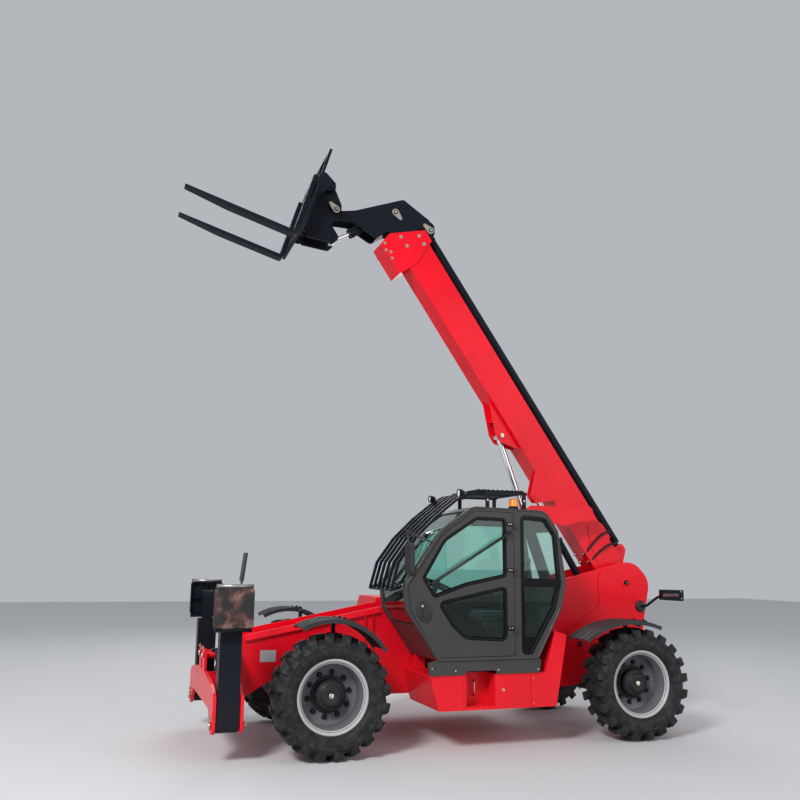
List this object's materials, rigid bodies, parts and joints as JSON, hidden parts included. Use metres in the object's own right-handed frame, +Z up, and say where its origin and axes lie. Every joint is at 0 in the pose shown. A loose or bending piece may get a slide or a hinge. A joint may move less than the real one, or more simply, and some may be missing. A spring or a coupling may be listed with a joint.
{
  "type": "telehandler",
  "caption": "Four-wheel telehandler with a raised two-section boom, pallet forks, folded front outriggers and a side cab.",
  "frame": {"origin": "on the floor under the middle of the machine's length and width", "axes": "+X forward, +Y to the machine's left, +Z up"},
  "size_m": [5.4954, 2.34, 6.1545],
  "materials": {
    "red_paint": "gloss",
    "dark_paint": "satin",
    "black_steel": "satin",
    "cylinder_rod": "polished",
    "glass": "gloss",
    "tyre_rubber": "matte",
    "rim_silver": "satin",
    "axle_iron": "matte",
    "seat_cloth": "matte",
    "moulded_black": "matte"
  },
  "bodies": {
    "chassis": {"chassis_side_left": "red_paint", "chassis_side_right": "red_paint", "chassis_frame": "red_paint", "front_frame": "red_paint", "front_axle": "axle_iron", "rear_axle": "axle_iron", "cab_shell": "dark_paint", "cab_side_left": "dark_paint", "cab_side_right": "dark_paint", "cab_glass": "glass", "seat": "seat_cloth", "steering_console": "moulded_black", "side_box": "red_paint", "engine_bay": "red_paint", "engine_block": "axle_iron", "cab_guard": "black_steel", "work_lamps": "black_steel", "boom_shield": "red_paint"},
    "door": {"cab_door": "dark_paint", "door_glass": "glass"},
    "hood": {"engine_hood": "red_paint"},
    "boom": {"boom_outer": "red_paint", "extend_barrel": "black_steel"},
    "boom_extension": {"boom_inner": "black_steel", "extend_rod": "cylinder_rod"},
    "carriage": {"coupler": "black_steel", "fork_carriage": "black_steel", "forks": "black_steel"},
    "lift_cylinder": {"lift_barrel": "black_steel"},
    "lift_piston": {"lift_rod": "cylinder_rod"},
    "level_cylinder": {"level_barrel": "black_steel"},
    "level_piston": {"level_rod": "cylinder_rod"},
    "tilt_cylinder": {"tilt_barrel": "black_steel"},
    "tilt_piston": {"tilt_rod": "cylinder_rod"},
    "outrigger_left": {"outrigger_leg_left": "dark_paint"},
    "brace_left_cylinder": {"brace_left_barrel": "black_steel"},
    "brace_left_piston": {"brace_left_rod": "cylinder_rod"},
    "outrigger_right": {"outrigger_leg_right": "dark_paint"},
    "brace_right_cylinder": {"brace_right_barrel": "black_steel"},
    "brace_right_piston": {"brace_right_rod": "cylinder_rod"},
    "knuckle_front_left": {"knuckle_front_left": "axle_iron", "fender_front_left": "moulded_black"},
    "wheel_front_left": {"tyre_front_left": "tyre_rubber", "rim_front_left": "rim_silver", "hub_front_left": "axle_iron"},
    "knuckle_front_right": {"knuckle_front_right": "axle_iron", "fender_front_right": "moulded_black"},
    "wheel_front_right": {"tyre_front_right": "tyre_rubber", "rim_front_right": "rim_silver", "hub_front_right": "axle_iron"},
    "knuckle_rear_left": {"knuckle_rear_left": "axle_iron", "fender_rear_left": "moulded_black"},
    "wheel_rear_left": {"tyre_rear_left": "tyre_rubber", "rim_rear_left": "rim_silver", "hub_rear_left": "axle_iron"},
    "knuckle_rear_right": {"knuckle_rear_right": "axle_iron", "fender_rear_right": "moulded_black"},
    "wheel_rear_right": {"tyre_rear_right": "tyre_rubber", "rim_rear_right": "rim_silver", "hub_rear_right": "axle_iron"}
  },
  "joints": [
    {"name": "steer_front_left", "type": "hinge", "parent": "chassis", "child": "knuckle_front_left", "pos_m": [1.225, 0.69, 0.555], "axis": [0, 0, 1], "range_deg": [-30, 30]},
    {"name": "spin_front_left", "type": "hinge", "parent": "knuckle_front_left", "child": "wheel_front_left", "pos_m": [1.225, 0.985, 0.555], "axis": [0, 1, 0], "continuous": true},
    {"name": "steer_front_right", "type": "hinge", "parent": "chassis", "child": "knuckle_front_right", "pos_m": [1.225, -0.69, 0.555], "axis": [0, 0, 1], "range_deg": [-30, 30]},
    {"name": "spin_front_right", "type": "hinge", "parent": "knuckle_front_right", "child": "wheel_front_right", "pos_m": [1.225, -0.985, 0.555], "axis": [0, 1, 0], "continuous": true},
    {"name": "steer_rear_left", "type": "hinge", "parent": "chassis", "child": "knuckle_rear_left", "pos_m": [-2.035, 0.69, 0.555], "axis": [0, 0, 1], "range_deg": [-30, 30]},
    {"name": "spin_rear_left", "type": "hinge", "parent": "knuckle_rear_left", "child": "wheel_rear_left", "pos_m": [-2.035, 0.985, 0.555], "axis": [0, 1, 0], "continuous": true},
    {"name": "steer_rear_right", "type": "hinge", "parent": "chassis", "child": "knuckle_rear_right", "pos_m": [-2.035, -0.69, 0.555], "axis": [0, 0, 1], "range_deg": [-30, 30]},
    {"name": "spin_rear_right", "type": "hinge", "parent": "knuckle_rear_right", "child": "wheel_rear_right", "pos_m": [-2.035, -0.985, 0.555], "axis": [0, 1, 0], "continuous": true},
    {"name": "boom_lift", "type": "hinge", "parent": "chassis", "child": "boom", "pos_m": [-2.425, 0, 1.555], "axis": [0, -1, 0], "range_deg": [-55, 9]},
    {"name": "boom_extend", "type": "slide", "parent": "boom", "child": "boom_extension", "axis": [0.5621, 0, 0.8271], "range_m": [0, 3.4]},
    {"name": "carriage_tilt", "type": "hinge", "parent": "boom_extension", "child": "carriage", "pos_m": [1.07598, 0, 5.65153], "axis": [0, 1, 0], "range_deg": [-45, 35]},
    {"name": "lift_swing", "type": "hinge", "parent": "chassis", "child": "lift_cylinder", "pos_m": [-1.805, 0, 0.89], "axis": [0, -1, 0], "range_deg": [-55, 10]},
    {"name": "lift_stroke", "type": "slide", "parent": "lift_cylinder", "child": "lift_piston", "axis": [0.335, 0, 0.9422], "range_m": [-0.8383, 0.1414]},
    {"name": "level_swing", "type": "hinge", "parent": "chassis", "child": "level_cylinder", "pos_m": [-2.175, 0.115, 1.2], "axis": [0, -1, 0], "range_deg": [-56, 10]},
    {"name": "level_stroke", "type": "slide", "parent": "level_cylinder", "child": "level_piston", "axis": [0.5175, 0, 0.8557], "range_m": [-0.4082, 0.071]},
    {"name": "tilt_swing", "type": "hinge", "parent": "boom_extension", "child": "tilt_cylinder", "pos_m": [0.35153, 0, 5.74729], "axis": [0, 1, 0], "range_deg": [-11, 9]},
    {"name": "tilt_stroke", "type": "slide", "parent": "tilt_cylinder", "child": "tilt_piston", "axis": [0.8677, 0, -0.4971], "range_m": [-0.16, 0.2043]},
    {"name": "outrigger_left", "type": "hinge", "parent": "chassis", "child": "outrigger_left", "pos_m": [2.147, 0.93, 0.33], "axis": [-1, 0, 0], "range_deg": [0, 100]},
    {"name": "brace_left_swing", "type": "hinge", "parent": "chassis", "child": "brace_left_cylinder", "pos_m": [2.147, 0.14, 0.85], "axis": [-1, 0, 0], "range_deg": [-1, 15]},
    {"name": "brace_left_stroke", "type": "slide", "parent": "brace_left_cylinder", "child": "brace_left_piston", "axis": [0, 0.9801, -0.1987], "range_m": [0, 0.5301]},
    {"name": "outrigger_right", "type": "hinge", "parent": "chassis", "child": "outrigger_right", "pos_m": [2.147, -0.93, 0.33], "axis": [1, 0, 0], "range_deg": [0, 100]},
    {"name": "brace_right_swing", "type": "hinge", "parent": "chassis", "child": "brace_right_cylinder", "pos_m": [2.147, -0.14, 0.85], "axis": [1, 0, 0], "range_deg": [-1, 15]},
    {"name": "brace_right_stroke", "type": "slide", "parent": "brace_right_cylinder", "child": "brace_right_piston", "axis": [0, -0.9801, -0.1987], "range_m": [0, 0.5301]},
    {"name": "cab_door", "type": "hinge", "parent": "chassis", "child": "door", "pos_m": [-0.605, 1.135, 1.5], "axis": [0, 0, 1], "range_deg": [0, 80]},
    {"name": "engine_hood", "type": "hinge", "parent": "chassis", "child": "hood", "pos_m": [-0.365, -0.315, 1.394], "axis": [-1, 0, 0], "range_deg": [0, 60]}
  ],
  "couplings": [
    {"joint": "steer_front_right", "follows": "steer_front_left", "ratio": 1},
    {"joint": "steer_rear_right", "follows": "steer_rear_left", "ratio": 1},
    {"joint": "lift_swing", "follows": "boom_lift", "ratio": 0.97},
    {"joint": "lift_stroke", "follows": "boom_lift", "m_per_rad": 0.86803},
    {"joint": "level_swing", "follows": "boom_lift", "ratio": 0.995},
    {"joint": "level_stroke", "follows": "boom_lift", "m_per_rad": 0.41998},
    {"joint": "tilt_swing", "follows": "carriage_tilt", "ratio": 0.21},
    {"joint": "tilt_stroke", "follows": "carriage_tilt", "m_per_rad": -0.25375},
    {"joint": "brace_left_swing", "follows": "outrigger_left", "ratio": 0.1324},
    {"joint": "brace_left_stroke", "follows": "outrigger_left", "m_per_rad": 0.30086},
    {"joint": "brace_right_swing", "follows": "outrigger_right", "ratio": 0.1324},
    {"joint": "brace_right_stroke", "follows": "outrigger_right", "m_per_rad": 0.30086}
  ]
}
